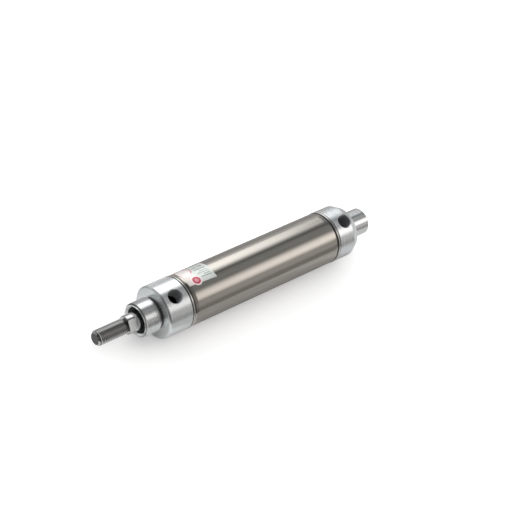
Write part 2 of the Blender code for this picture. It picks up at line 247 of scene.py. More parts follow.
def radial_normals(obj, surfaces, angle=28.0):
    """Sets exact turned normals on cylinders that a cut left with long faces.
    surfaces lists (x0, x1, radius) in millimetres."""
    mesh = obj.data
    mesh.shade_smooth()
    mesh.set_sharp_from_angle(angle=math.radians(angle))
    normals = [Vector(c.vector) for c in mesh.corner_normals]
    for poly in mesh.polygons:
        if abs(poly.normal.x) > 0.02:
            continue
        on = None
        for x0, x1, radius in surfaces:
            good = True
            for v in poly.vertices:
                co = mesh.vertices[v].co / MM
                if not (x0 - 0.01 <= co.x <= x1 + 0.01 and abs(math.hypot(co.y, co.z) - radius) < 0.02):
                    good = False
                    break
            if good:
                on = radius
                break
        if on is None:
            continue
        for li in poly.loop_indices:
            co = mesh.vertices[mesh.loops[li].vertex_index].co
            normals[li] = Vector((0.0, co.y, co.z)).normalized()
    mesh.normals_split_custom_set(normals)
    return obj


def port_cutter(x_port, surface, bottom):
    """Cutter of a G1/8 port: right-hand thread, countersunk mouth, from above
    the surface down to the bottom."""
    major, minor, pitch = 4.86, 4.285, 0.907
    top = surface + 2.0

    def radius_at(z, depth):
        r = major - (major - minor) * depth
        blend = min(max((z - bottom - 0.2) / 1.2, 0.0), 1.0)
        r = minor + (r - minor) * blend
        sink = 5.0 - (surface - z)
        r = max(r, sink)
        return 5.02 if z >= surface else r

    bm = bmesh.new()
    helix(bm, bottom, surface, pitch, lambda z, d: 5.02 if z > surface - 1e-6 else radius_at(z, d), segs=64)
    for ring in ((bottom, minor), (surface, 5.02)):
        end = [ring_points(bm, ring[0], ring[1], 64)]
        if ring[0] == bottom:
            end.append(ring_points(bm, bottom, 0.0, 64))
        else:
            end.append(ring_points(bm, top, 5.02, 64))
            end.append(ring_points(bm, top, 0.0, 64))
        for a, b in zip(end, end[1:]):
            join_rings(bm, a, b)
    obj = finish_mesh(bm, "port_cutter")
    obj.data.transform(Matrix.Rotation(-math.pi / 2, 4, "Y"))
    obj.data.transform(Matrix.Translation((x_port * MM, 0.0, 0.0)))
    return obj


def box_tool(size, centre, roll=0.0):
    bm = bmesh.new()
    bmesh.ops.create_cube(bm, size=1.0)
    bmesh.ops.scale(bm, vec=Vector(size) * MM, verts=bm.verts)
    bmesh.ops.translate(bm, vec=Vector(centre) * MM, verts=bm.verts)
    bmesh.ops.rotate(bm, cent=(0, 0, 0), matrix=Matrix.Rotation(math.radians(roll), 3, "X"), verts=bm.verts)
    return finish_mesh(bm, "box_tool")


def spread(a, b, count):
    return [a + (b - a) * i / count for i in range(1, count)]


# ------------------------------------------------------------------ materials
class Shader:
    """A Principled material whose colour, roughness and bump come from nodes."""

    def __init__(self, name, metallic=0.0, **sockets):
        self.mat = bpy.data.materials.new(name)
        self.mat.use_nodes = True
        self.tree = self.mat.node_tree
        self.out = self.tree.nodes["Principled BSDF"]
        self.out.inputs["Metallic"].default_value = metallic
        for key, value in sockets.items():
            self.out.inputs[key.replace("_", " ")].default_value = value
        self.coords = self.tree.nodes.new("ShaderNodeTexCoord")

    def node(self, kind, **values):
        made = self.tree.nodes.new(kind)
        for key, value in values.items():
            setattr(made, key, value)
        return made

    def plug(self, source, target):
        self.tree.links.new(source, target)

    def scaled(self, scale):
        """Object coordinates in metres, stretched by scale per axis."""
        mapping = self.node("ShaderNodeMapping")
        mapping.inputs["Scale"].default_value = scale
        self.plug(self.coords.outputs["Object"], mapping.inputs["Vector"])
        return mapping.outputs["Vector"]

    def noise(self, scale, detail=3.0, rough=0.5, size=1.0):
        made = self.node("ShaderNodeTexNoise")
        made.inputs["Scale"].default_value = size
        made.inputs["Detail"].default_value = detail
        made.inputs["Roughness"].default_value = rough
        self.plug(self.scaled(scale), made.inputs["Vector"])
        return made.outputs["Fac"]

    def ramp(self, source, stops):
        made = self.node("ShaderNodeValToRGB")
        elements = made.color_ramp.elements
        while len(elements) < len(stops):
            elements.new(0.5)
        for element, (place, colour) in zip(elements, stops):
            element.position = place
            element.color = (*colour, 1.0)
        self.plug(source, made.inputs["Fac"])
        return made.outputs["Color"]

    def span(self, source, low, high, start=0.3, end=0.7):
        made = self.node("ShaderNodeMapRange")
        made.inputs["From Min"].default_value = start
        made.inputs["From Max"].default_value = end
        made.inputs["To Min"].default_value = low
        made.inputs["To Max"].default_value = high
        self.plug(source, made.inputs["Value"])
        return made.outputs["Result"]

    def math(self, operation, a, b=None, clamp=False):
        made = self.node("ShaderNodeMath", operation=operation, use_clamp=clamp)
        for i, value in enumerate((a, b)):
            if value is None:
                continue
            if isinstance(value, (int, float)):
                made.inputs[i].default_value = value
            else:
                self.plug(value, made.inputs[i])
        return made.outputs["Value"]

    def mix(self, factor, a, b):
        made = self.node("ShaderNodeMix", data_type="RGBA")
        self.plug(factor, made.inputs["Factor"])
        for socket, value in (("A", a), ("B", b)):
            target = [s for s in made.inputs if s.name == socket and s.type == "RGBA"][0]
            if isinstance(value, tuple):
                target.default_value = (*value, 1.0)
            else:
                self.plug(value, target)
        return [s for s in made.outputs if s.type == "RGBA"][0]

    def bump(self, source, distance, strength=1.0, before=None):
        made = self.node("ShaderNodeBump")
        made.inputs["Distance"].default_value = distance
        made.inputs["Strength"].default_value = strength
        self.plug(source, made.inputs["Height"])
        if before is not None:
            self.plug(before, made.inputs["Normal"])
        self.plug(made.outputs["Normal"], self.out.inputs["Normal"])
        return made.outputs["Normal"]

    def colour(self, source):
        self.plug(source, self.out.inputs["Base Color"])

    def roughness(self, source):
        self.plug(source, self.out.inputs["Roughness"])


def stainless():
    """Drawn tube: fine lines along X, faint patches, warm grey."""
    s = Shader("stainless_tube", metallic=1.0)
    lines = s.noise((60, 2600, 2600), detail=4, rough=0.6)
    patches = s.noise((35, 160, 160), detail=2)
    base = s.ramp(lines, [(0.30, (0.45, 0.425, 0.385)), (0.55, (0.53, 0.502, 0.46)), (0.75, (0.59, 0.56, 0.517))])
    tint = s.ramp(patches, [(0.35, (0.515, 0.493, 0.444)), (0.65, (0.555, 0.52, 0.49))])
    s.colour(s.mix(s.span(patches, 0.25, 0.55), base, tint))
    s.roughness(s.math("ADD", s.span(lines, 0.09, 0.16), s.span(patches, 0.0, 0.04)))
    s.bump(lines, 0.000004, 0.35)
    return s.mat


def turned_aluminium(name, low, high, rough, ring_scale=5200, depth=0.00001, metallic=1.0):
    """Satin aluminium with fine turning rings round X and small stains."""
    s = Shader(name, metallic=metallic)
    rings = s.noise((ring_scale, 40, 40), detail=3, rough=0.55)
    grain = s.noise((2600, 2600, 2600), detail=2, rough=0.6)
    stains = s.noise((90, 120, 120), detail=4, rough=0.6)
    base = s.ramp(rings, [(0.3, low), (0.7, high)])
    dull = tuple(c * 0.90 for c in low)
    s.colour(s.mix(s.span(stains, 0.0, 0.30, 0.5, 0.75), base, dull))
    s.roughness(s.math("ADD", s.span(grain, rough - 0.05, rough + 0.05), s.span(rings, -0.03, 0.04)))
    first = s.bump(grain, 0.000006, 0.35)
    s.bump(rings, depth, 0.5, before=first)
    return s.mat


def chrome():
    """Ground and chromed rod: very fine rings, slight wear along its length."""
    s = Shader("chromed_rod", metallic=1.0)
    rings = s.noise((7000, 60, 60), detail=2)
    wear = s.noise((60, 900, 900), detail=3, rough=0.6)
    s.colour(s.ramp(wear, [(0.3, (0.58, 0.58, 0.585)), (0.7, (0.68, 0.68, 0.68))]))
    s.roughness(s.math("ADD", s.span(rings, 0.05, 0.10), s.span(wear, 0.0, 0.04)))
    s.bump(rings, 0.000003, 0.3)
    return s.mat


def thread_steel_painted_light():
    """Cut thread of the rod, coloured by radius: painted shade makes the steel near-black in the roots and a painted
    highlight makes it almost white on the crests.
    """
    s = Shader("rod_thread_steel", metallic=1.0)
    radial = s.node("ShaderNodeSeparateXYZ")
    s.plug(s.coords.outputs["Object"], radial.inputs["Vector"])
    y, z = radial.outputs["Y"], radial.outputs["Z"]
    r = s.math("SQRT", s.math("ADD", s.math("MULTIPLY", y, y), s.math("MULTIPLY", z, z)))
    # Painted shade and highlight: the mix runs from the dark roots to the bright crests by radius.
    crest = s.span(r, 0.0, 1.0, 0.0045, 0.00494)
    grain = s.noise((1800, 1800, 1800), detail=4, rough=0.6)
    roots = s.ramp(grain, [(0.3, (0.075, 0.075, 0.078)), (0.7, (0.13, 0.13, 0.132))])
    crests = s.ramp(grain, [(0.3, (0.80, 0.80, 0.795)), (0.7, (0.93, 0.93, 0.925))])
    s.colour(s.mix(crest, roots, crests))
    s.roughness(s.math("ADD", s.span(grain, 0.22, 0.34), s.math("MULTIPLY", crest, -0.06)))
    s.bump(grain, 0.000008, 0.4)
    return s.mat


def rubber(name, low, high, rough=0.55):
    """Moulded rubber: fine pebbled skin with dusty patches."""
    s = Shader(name, metallic=0.0, Specular_IOR_Level=0.35)
    grain = s.noise((3200, 3200, 3200), detail=3, rough=0.6)
    dust = s.noise((260, 260, 260), detail=3)
    s.colour(s.ramp(dust, [(0.35, low), (0.7, high)]))
    s.roughness(s.span(grain, rough - 0.08, rough + 0.1))
    s.bump(grain, 0.00002, 0.3)
    return s.mat


def granular(name, low, high, metallic, rough, size=1500, depth=0.00002):
    """Sintered, bonded or plated surface: grain at a real size and patches."""
    s = Shader(name, metallic=metallic)
    grain = s.noise((size, size, size), detail=4, rough=0.65)
    patch = s.noise((200, 200, 200), detail=2)
    base = s.ramp(grain, [(0.35, low), (0.7, high)])
    s.colour(s.mix(s.span(patch, 0.0, 0.35), base, tuple(c * 0.85 for c in low)))
    s.roughness(s.span(grain, rough - 0.07, rough + 0.09))
    s.bump(grain, depth, 0.5)
    return s.mat


LABEL_LENGTH, LABEL_ARC = 20.5, 17.0
DOT = (13.7, 2.3)        # middle of the red dot, from the label's rear lower corner


def label_film():
    """Satin film with a plain printed border, a red dot and blank data lines.
    The marks are generic shapes, placed with the patch's own UV map."""
    s = Shader("label_film", metallic=0.38, Coat_Weight=0.22, Coat_Roughness=0.16)
    split = s.node("ShaderNodeSeparateXYZ")
    s.plug(s.coords.outputs["UV"], split.inputs["Vector"])
    u = s.math("MULTIPLY", split.outputs["X"], LABEL_LENGTH)
    v = s.math("MULTIPLY", split.outputs["Y"], LABEL_ARC)

    def inside(value, low, high):
        return s.math("MULTIPLY", s.math("GREATER_THAN", value, low), s.math("LESS_THAN", value, high))

    def bar(u0, u1, v0, v1):
        return s.math("MULTIPLY", inside(u, u0, u1), inside(v, v0, v1))

    def disc(cu, cv, radius):
        du, dv = s.math("SUBTRACT", u, cu), s.math("SUBTRACT", v, cv)
        d = s.math("SQRT", s.math("ADD", s.math("MULTIPLY", du, du), s.math("MULTIPLY", dv, dv)))
        return s.math("LESS_THAN", d, radius)

    grain = s.noise((2200, 2200, 2200), detail=2)
    smudge = s.noise((150, 150, 150), detail=3)
    film = s.ramp(smudge, [(0.35, (0.64, 0.675, 0.645)), (0.65, (0.74, 0.765, 0.73))])
    # Painted highlight: the film turns pinkish and paler towards its front end, past the red dot.
    rosy_painted_highlight = s.ramp(smudge, [(0.35, (0.72, 0.66, 0.63)), (0.65, (0.82, 0.75, 0.72))])
    film = s.mix(s.span(u, 0.0, 1.0, 11.5, 15.5), film, rosy_painted_highlight)
    ink = s.ramp(grain, [(0.3, (0.27, 0.33, 0.305)), (0.7, (0.34, 0.40, 0.375))])
    red = s.ramp(grain, [(0.3, (0.52, 0.085, 0.125)), (0.7, (0.58, 0.115, 0.155))])
    pale = s.ramp(grain, [(0.3, (0.84, 0.72, 0.72)), (0.7, (0.92, 0.82, 0.81))])

    bars = None
    for u0, u1, v0, v1 in (
        (1.6, 9.5, 9.6, 10.7), (1.6, 7.8, 7.6, 8.3), (1.6, 10.2, 6.1, 6.8), (1.6, 6.4, 4.6, 5.3),
        (1.6, 8.9, 3.1, 3.8), (2.2, 5.0, 12.2, 13.6), (6.2, 9.8, 12.2, 13.0),
    ):
        one = bar(u0, u1, v0, v1)
        bars = one if bars is None else s.math("MAXIMUM", bars, one)
    edge = s.math("SUBTRACT", 1.0, bar(0.45, LABEL_LENGTH - 0.45, 0.45, LABEL_ARC - 0.45))
    line = s.math("MULTIPLY", s.math("SUBTRACT", 1.0, bar(0.8, LABEL_LENGTH - 0.8, 0.8, LABEL_ARC - 0.8)), s.math("SUBTRACT", 1.0, edge))
    colour = s.mix(bars, film, ink)
    colour = s.mix(s.math("MULTIPLY", line, 0.45), colour, (0.40, 0.47, 0.43))
    colour = s.mix(disc(16.4, 12.4, 5.6), colour, pale)
    colour = s.mix(s.math("MULTIPLY", disc(16.4, 12.4, 5.25), s.math("GREATER_THAN", v, 8.8)), colour, red)
    colour = s.mix(disc(16.4, 12.4, 4.6), colour, s.ramp(grain, [(0.3, (0.90, 0.84, 0.83)), (0.7, (0.94, 0.89, 0.88))]))
    colour = s.mix(disc(*DOT, 3.6), colour, pale)
    colour = s.mix(disc(*DOT, 2.65), colour, red)
    colour = s.mix(disc(*DOT, 1.3), colour, s.ramp(grain, [(0.3, (0.74, 0.33, 0.37)), (0.7, (0.80, 0.40, 0.44))]))
    s.colour(colour)
    s.roughness(s.span(grain, 0.26, 0.36))
    s.bump(smudge, 0.00002, 0.25)
    return s.mat


STEEL = stainless()
ALU = turned_aluminium("satin_aluminium", (0.83, 0.86, 0.87), (0.90, 0.925, 0.935), 0.22, metallic=0.90)
ALU_TURNED = turned_aluminium("bright_turned_aluminium", (0.79, 0.805, 0.81), (0.89, 0.90, 0.905), 0.14, ring_scale=3400, depth=0.000012, metallic=0.93)
# Painted shade: the port's threaded walls are the cover's aluminium at about half its brightness, darkened as shade in
# the hole.
PORT_PAINTED_SHADE = granular("port_thread_aluminium", (0.34, 0.355, 0.365), (0.50, 0.515, 0.53), 0.8, 0.42, size=1800, depth=0.00001)
# Painted shade: a near-black steel put in the crimp grooves, the gaps between tube and covers and the nose's thread
# relief, where shade falls.
CREVICE_PAINTED_SHADE = granular("crimp_shadow_steel", (0.07, 0.073, 0.07), (0.14, 0.143, 0.138), 0.85, 0.40, size=1800, depth=0.000006)
# Painted shade: a dark ring of aluminium at about a quarter of the cover's brightness, on the nose's end chamfer.
NOSE_CHAMFER_PAINTED_SHADE = granular("painted_shade_thread_chamfer", (0.20, 0.205, 0.21), (0.34, 0.345, 0.35), 1.0, 0.30, size=1800, depth=0.000006)
# Painted highlight: a steel much paler than the tube's own, put on the rolled lip so that it shows as a bright line.
LIP = granular("rolled_lip_steel", (0.82, 0.80, 0.775), (0.93, 0.91, 0.885), 1.0, 0.20, size=1600, depth=0.000004)
CHROME = chrome()
FLAT = granular("milled_flat_steel", (0.76, 0.765, 0.77), (0.88, 0.885, 0.885), 0.62, 0.33, size=1500, depth=0.000006)
THREAD = thread_steel_painted_light()
NITRILE = rubber("black_nitrile", (0.030, 0.031, 0.032), (0.075, 0.077, 0.078))
URETHANE = rubber("black_polyurethane", (0.018, 0.018, 0.02), (0.045, 0.045, 0.048), 0.42)
BUFFER = rubber("buffer_rubber", (0.03, 0.03, 0.03), (0.06, 0.06, 0.058), 0.65)
BRONZE = granular("sintered_bronze", (0.42, 0.27, 0.13), (0.60, 0.42, 0.22), 1.0, 0.42)
PISTON = turned_aluminium("piston_aluminium", (0.66, 0.665, 0.67), (0.80, 0.80, 0.81), 0.26, ring_scale=2600, depth=0.00002)
MAGNET = granular("bonded_magnet", (0.055, 0.055, 0.06), (0.12, 0.12, 0.125), 0.3, 0.55, size=2400)
RESIN = granular("guide_resin", (0.70, 0.68, 0.61), (0.82, 0.80, 0.73), 0.0, 0.45, size=900, depth=0.00001)
ZINC = granular("zinc_plated_steel", (0.48, 0.49, 0.50), (0.66, 0.665, 0.66), 1.0, 0.30, size=1200, depth=0.00001)
LABEL = label_film()


def dress(obj, body, slot, replaces, *materials):
    obj.data.materials.clear()
    for m in materials:
        obj.data.materials.append(m)
    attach(obj, body)
    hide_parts(replaces)


def assign(obj, test, index):
    """Gives the material at index to each face whose middle passes the test."""
    for poly in obj.data.polygons:
        c = poly.center / MM
        if test(c.x, math.hypot(c.y, c.z), c.y, c.z, poly.normal):
            poly.material_index = index


# --------------------------------------------------------------- fixed pieces
def make_barrel():
    def end(x_end, inward):
        outer = [
            (0.0, TUBE_LIP_R - 0.28), (0.06, TUBE_LIP_R - 0.12), (0.2, TUBE_LIP_R - 0.02), (0.4, TUBE_LIP_R),
            (0.7, TUBE_LIP_R), (0.9, TUBE_LIP_R - 0.05), (1.05, TUBE_LIP_R - 0.18), (1.15, 16.72), (1.3, 16.52),
            (1.5, 16.42), (1.75, 16.42), (1.95, 16.5), (2.1, 16.64), (2.25, 16.76), (2.45, TUBE_R),
            (4.9, TUBE_R), (6.0, TUBE_R),
        ]
        inner = [
            (0.0, BORE_R + 0.3), (0.2, BORE_R + 0.1), (0.9, BORE_R), (1.5, 15.8), (2.0, 15.66), (2.4, 15.66), (2.9, 15.8), (3.5, BORE_R),
        ]
        return (
            [(x_end + inward * o, r) for o, r in outer],
            [(x_end + inward * o, r) for o, r in inner],
        )

    front_out, front_in = end(X_TUBE_FRONT, -1)
    rear_out, rear_in = end(X_TUBE_REAR, 1)
    middle = [(x, TUBE_R) for x in spread(front_out[-1][0], rear_out[-1][0], 12)]
    bore = [(x, BORE_R) for x in spread(rear_in[-1][0], front_in[-1][0], 12)]
    bm = bmesh.new()
    lathe(bm, front_out + middle + rear_out[::-1] + rear_in + bore + front_in[::-1])
    obj = finish_mesh(bm, "tube_rolled", angle=50)
    dress(obj, "cylinder_body", "stainless_tube", "barrel", STEEL, CREVICE_PAINTED_SHADE, LIP)
    for x_end, inward in ((X_TUBE_FRONT, -1), (X_TUBE_REAR, 1)):
        # Painted shade: the crimp groove and the tube's end face take the near-black steel (index 1).
        assign(obj, lambda x, r, y, z, n: 1.1 < (x - x_end) * inward < 1.85 and r > 16.2, 1)
        # Painted highlight: the lip's bulge takes the paler lip steel (index 2).
        assign(obj, lambda x, r, y, z, n: 0.1 < (x - x_end) * inward < 0.98 and r > 16.8, 2)
        assign(obj, lambda x, r, y, z, n: (x - x_end) * inward < 0.1 and r > 16.0, 1)


def spigot(x_tube_end, inward):
    stations = [
        (-GAP, 15.7), (1.0, 15.7), (1.75, 15.05), (2.65, 15.05), (3.4, 15.7), (4.65, 15.7),
        (4.65, 14.05), (6.55, 14.05), (6.55, 15.7), (8.0, 15.7), (8.5, 15.2),
    ]
    return [(x_tube_end + inward * o, r) for o, r in stations]


def make_front_cover():
    nose_pitch = 1.5
    root = NOSE_R - 0.6134 * nose_pitch
    x_relief = X_SHOULDER + 1.3

    def radius_at(x, depth):
        r = NOSE_R - (NOSE_R - root) * depth
        return min(r, root + max(X_NOSE - 0.05 - x, 0.0) * 1.0 + 0.0, root + max(x - x_relief, 0.0) * 1.1)

    bm = bmesh.new()
    helix(bm, x_relief, X_NOSE - 0.05, nose_pitch, radius_at)
    first = [(X_NOSE - 0.9, SEAL_POCKET_R), (X_NOSE, SEAL_POCKET_R + 1.1), (X_NOSE, root - 0.05)]
    mouth = fillet([(X_SEAL_POCKET, SEAL_POCKET_R)] + first, 0.1, closed=False)
    outside = [
        (x_relief, root), (x_relief - 0.15, root - 0.12), (X_SHOULDER, root - 0.12),
        (X_SHOULDER, COVER_R - 1.0), (X_SHOULDER - 1.0, COVER_R),
    ]
    outside += [(x, COVER_R) for x in spread(X_SHOULDER - 1.0, X_TUBE_FRONT + 0.7, 15)]
    outside += [(X_TUBE_FRONT + 0.7, COVER_R), (X_TUBE_FRONT + 0.3, COVER_R - 0.4), *spigot(X_TUBE_FRONT, -1)]
    outside += [
        (X_SPIGOT_FRONT, 13.2), (X_SPIGOT_FRONT + 1.6, 13.2), (X_SPIGOT_FRONT + 1.6, CAVITY_R),
        (X_BUSH_POCKET, CAVITY_R), (X_BUSH_POCKET, BUSH_POCKET_R), (X_SEAL_POCKET, BUSH_POCKET_R), (X_SEAL_POCKET, SEAL_POCKET_R),
    ]
    lathe(bm, mouth + [(X_NOSE - 0.05, root)], closed=False)
    lathe(bm, fillet(outside, 0.16, 3, closed=False), closed=False)
    obj = finish_mesh(bm, "front_cover_threaded")
    obj = boolean(obj, port_cutter(X_PORT_FRONT, COVER_R - 0.35, 7.2))
    radial_normals(obj, [(X_TUBE_FRONT, X_SHOULDER, COVER_R)])
    dress(obj, "cylinder_body", "satin_aluminium", "front_end_cover", ALU, ALU_TURNED, PORT_PAINTED_SHADE, CREVICE_PAINTED_SHADE, NOSE_CHAMFER_PAINTED_SHADE)
    # Painted shade: the gap by the tube's end takes the near-black steel (index 3).
    assign(obj, lambda x, r, y, z, n: X_TUBE_FRONT - 1.0 < x < X_TUBE_FRONT + 0.35 and r < COVER_R - 0.1, 3)
    assign(obj, lambda x, r, y, z, n: x > X_SHOULDER + 0.05, 1)
    # Painted shade: the port's walls take the darkened aluminium (index 2).
    assign(obj, lambda x, r, y, z, n: math.hypot(x - X_PORT_FRONT, y) < 4.9 and 7.0 < z < COVER_R - 0.5, 2)
    # Painted shade: the thread relief groove by the shoulder takes the near-black steel (index 3).
    assign(obj, lambda x, r, y, z, n: X_SHOULDER + 0.03 < x < x_relief + 0.02 and 9.5 < r < root + 0.3, 3)
    # Painted shade: the nose's end chamfer takes the dark ring material (index 4).
    assign(obj, lambda x, r, y, z, n: X_NOSE - 0.95 < x < X_NOSE - 0.04 and r > root - 0.03 and n.x > 0.3, 4)


def make_rear_cover():
    taper_length, taper_drop = 5.0, 2.7
    x_face = X_TUBE_REAR - 0.3
    line = [
        (20.0, 0.0), (20.0, 3.5), (35.0, 3.5), (35.0, 8.4), (X_SPIGOT_REAR - 1.6, 8.4), (X_SPIGOT_REAR - 1.6, 13.2),
        (X_SPIGOT_REAR, 13.2), *spigot(X_TUBE_REAR, 1)[::-1], (x_face, COVER_R - 0.4), (x_face - 0.4, COVER_R),
    ]
    line += [(x, COVER_R) for x in spread(x_face - 0.4, X_COVER_REAR + taper_length, 13)]
    line += [
        (X_COVER_REAR + taper_length, COVER_R), (X_COVER_REAR, COVER_R - taper_drop), (X_COVER_REAR, BOSS_R), (1.0, BOSS_R),
        (0.0, BOSS_R - 1.0), (0.0, 0.0),
    ]
    bm = bmesh.new()
    lathe(bm, fillet(line, 0.16, 3, closed=False), closed=False)
    obj = finish_mesh(bm, "rear_cover_bossed")
    obj = boolean(obj, port_cutter(X_PORT_REAR, COVER_R - 0.35, 0.4))
    radial_normals(obj, [(X_COVER_REAR, X_TUBE_REAR, COVER_R), (0.9, X_COVER_REAR, BOSS_R)])
    dress(obj, "cylinder_body", "satin_aluminium", "rear_end_cover", ALU, ALU_TURNED, PORT_PAINTED_SHADE, CREVICE_PAINTED_SHADE)
    # Painted shade: the gap by the tube's end takes the near-black steel (index 3).
    assign(obj, lambda x, r, y, z, n: x_face - 0.05 < x < x_face + 1.2 and r < COVER_R - 0.1, 3)
    assign(obj, lambda x, r, y, z, n: x < X_COVER_REAR - 0.05, 1)
    # Painted shade: the port's walls take the darkened aluminium (index 2).
    assign(obj, lambda x, r, y, z, n: math.hypot(x - X_PORT_REAR, y) < 4.9 and 0.3 < z < COVER_R - 0.8, 2)


def make_wiper():
    x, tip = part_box("rod_wiper")[0].x / MM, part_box("rod_wiper")[1].x / MM
    line = [
        (tip, 6.3), (tip, 6.5), (tip - 0.9, 7.05), (tip - 0.95, 7.25), (tip - 0.7, 7.45), (tip - 0.7, 7.95),
        (tip - 0.85, 8.0), (x, 8.0), (x, 6.5), (x + 1.2, 6.4),
    ]
    bm = bmesh.new()
    lathe(bm, fillet(line, 0.12, 3), segs=96)
    dress(finish_mesh(bm, "wiper_lip", angle=60), "cylinder_body", "nitrile", "rod_wiper", NITRILE)


def make_label():
    inner, thick = TUBE_R + 0.015, 0.045
    columns, rows = 40, 60
    lower, upper = (-6.5, -3.0), (-64.3, -60.8)
    x_rear, x_front = 130.6, 130.6 + LABEL_LENGTH
    bm = bmesh.new()
    uv = bm.loops.layers.uv.new("UVMap")
    places = {}

    def point(i, k, r):
        u, v = i / columns, k / rows
        x = x_rear + u * (x_front - x_rear)
        start = lower[1] + u * (lower[0] - lower[1])
        stop = upper[1] + u * (upper[0] - upper[1])
        t = math.radians(start + v * (stop - start))
        vert = bm.verts.new((x * MM, r * math.sin(t) * MM, r * math.cos(t) * MM))
        places[vert] = (u, v)
        return vert

    grids = [[[point(i, k, r) for k in range(rows + 1)] for i in range(columns + 1)] for r in (inner, inner + thick)]
    low, top = grids
    for i in range(columns):
        for k in range(rows):
            bm.faces.new((top[i][k], top[i][k + 1], top[i + 1][k + 1], top[i + 1][k]))
            bm.faces.new((low[i][k], low[i + 1][k], low[i + 1][k + 1], low[i][k + 1]))
    for i in range(columns):
        for k in (0, rows):
            bm.faces.new((low[i][k], low[i + 1][k], top[i + 1][k], top[i][k]))
    for k in range(rows):
        for i in (0, columns):
            bm.faces.new((low[i][k], low[i][k + 1], top[i][k + 1], top[i][k]))

    # The round end of the red mark stands over the label's lower edge.
    def spot(ring, step, r):
        u = (DOT[0] + 3.55 * ring * math.cos(step)) / LABEL_LENGTH
        v = (DOT[1] + 3.55 * ring * math.sin(step)) / LABEL_ARC
        x = x_rear + u * LABEL_LENGTH
        start = lower[1] + u * (lower[0] - lower[1])
        t = math.radians(start - v * math.degrees(LABEL_ARC / TUBE_R))
        vert = bm.verts.new((x * MM, r * math.sin(t) * MM, r * math.cos(t) * MM))
        places[vert] = (u, v)
        return vert

    steps = [2 * math.pi * k / 48 for k in range(48)]
    skins = [[[spot(ring / 6, step, r) for step in steps] for ring in range(1, 7)] for r in (inner + thick + 0.004, inner + thick + 0.03)]
    hubs = [spot(0.0, 0.0, r) for r in (inner + thick + 0.004, inner + thick + 0.03)]
    for rings, hub, flip in ((skins[0], hubs[0], True), (skins[1], hubs[1], False)):
        for k in range(48):
            m = (k + 1) % 48
            cells = [(hub, rings[0][k], rings[0][m])]
            cells += [(a[k], b[k], b[m], a[m]) for a, b in zip(rings, rings[1:])]
            for cell in cells:
                bm.faces.new(cell[::-1] if flip else cell)
    for k in range(48):
        m = (k + 1) % 48
        bm.faces.new((skins[0][-1][k], skins[0][-1][m], skins[1][-1][m], skins[1][-1][k]))
    for face in bm.faces:
        for loop in face.loops:
            loop[uv].uv = places[loop.vert]
    obj = finish_mesh(bm, "label_patch", weld=1e-8)
    dress(obj, "cylinder_body", "label_film", "identification_label", LABEL)


# -------------------------------------------------------------- moving pieces
def make_rod():
    pitch = 1.25
    root = THREAD_R - 0.6134 * pitch
    x0, x1 = X_ROD_SHOULDER + 1.2, X_TIP - 0.25

    def radius_at(x, depth):
        r = THREAD_R - (THREAD_R - root) * depth
        return min(r, root - 0.25 + max(x1 - x, 0.0) * 0.9, root - 0.05 + max(x - x0, 0.0) * 1.0)

    segs = 96
    bm = bmesh.new()
    helix(bm, x0, x1, pitch, radius_at, segs)
    tip = [(X_TIP, 0.0), (X_TIP, root - 0.55), (X_TIP - 0.12, root - 0.4), (x1, root - 0.25)]
    lathe(bm, tip, segs, closed=False)
    shaft = [
        (x0, root - 0.05), (x0 - 0.1, root - 0.1), (X_ROD_SHOULDER, root - 0.1), (X_ROD_SHOULDER, ROD_R - 0.5),
        (X_ROD_SHOULDER - 0.5, ROD_R),
    ]
    shaft += [(x, ROD_R) for x in spread(X_ROD_SHOULDER - 0.5, X_PISTON_FRONT + 0.3, 24)]
    shaft += [(X_PISTON_FRONT + 0.3, ROD_R), (X_PISTON_FRONT + 0.3, 4.0), (X_STUD + 0.6, 4.0), (X_STUD, 3.4), (X_STUD, 0.0)]
    lathe(bm, fillet(shaft, 0.12, 2, closed=False), segs, closed=False)
    obj = finish_mesh(bm, "rod_threaded")
    for side in (1, -1):
        x_from = X_ROD_SHOULDER - 6.0
        obj = boolean(obj, box_tool((8.0, 16.0, 4.0), (x_from + 4.0, 0.0, side * 7.0), roll=-28.0))
    radial_normals(obj, [(X_PISTON_FRONT, X_ROD_SHOULDER, ROD_R)])
    dress(obj, "rod_and_piston", "chromed_steel", "piston_rod", CHROME, THREAD, FLAT)
    assign(obj, lambda x, r, y, z, n: x > X_ROD_SHOULDER + 0.02, 1)
    assign(obj, lambda x, r, y, z, n: X_TIP - 1.25 < x < X_TIP - 0.02 and n.x > 0.35, 0)
    assign(obj, lambda x, r, y, z, n: abs(x - X_ROD_SHOULDER + 3.0) < 3.1 and abs(n.x) < 0.1 and abs(y * n.y + z * n.z - 5.0) < 0.1, 2)


make_barrel()
make_front_cover()
make_rear_cover()
make_wiper()
make_label()
make_rod()

for name, mat in (
    ("front_cover_o_ring", NITRILE), ("rear_cover_o_ring", NITRILE), ("front_buffer", BUFFER), ("rear_buffer", BUFFER),
    ("rod_bearing_bush", BRONZE), ("rod_seal", URETHANE), ("seal_backing_washer", ZINC), ("piston_rear_half", PISTON),
    ("piston_front_half", PISTON), ("piston_stud_o_ring", NITRILE), ("piston_magnet", MAGNET), ("piston_guide_ring", RESIN),
    ("piston_seal_front", URETHANE), ("piston_seal_rear", URETHANE), ("piston_washer", ZINC), ("piston_nut", ZINC),
):
    data = nodes[name].data
    data.materials.clear()
    data.materials.append(mat)


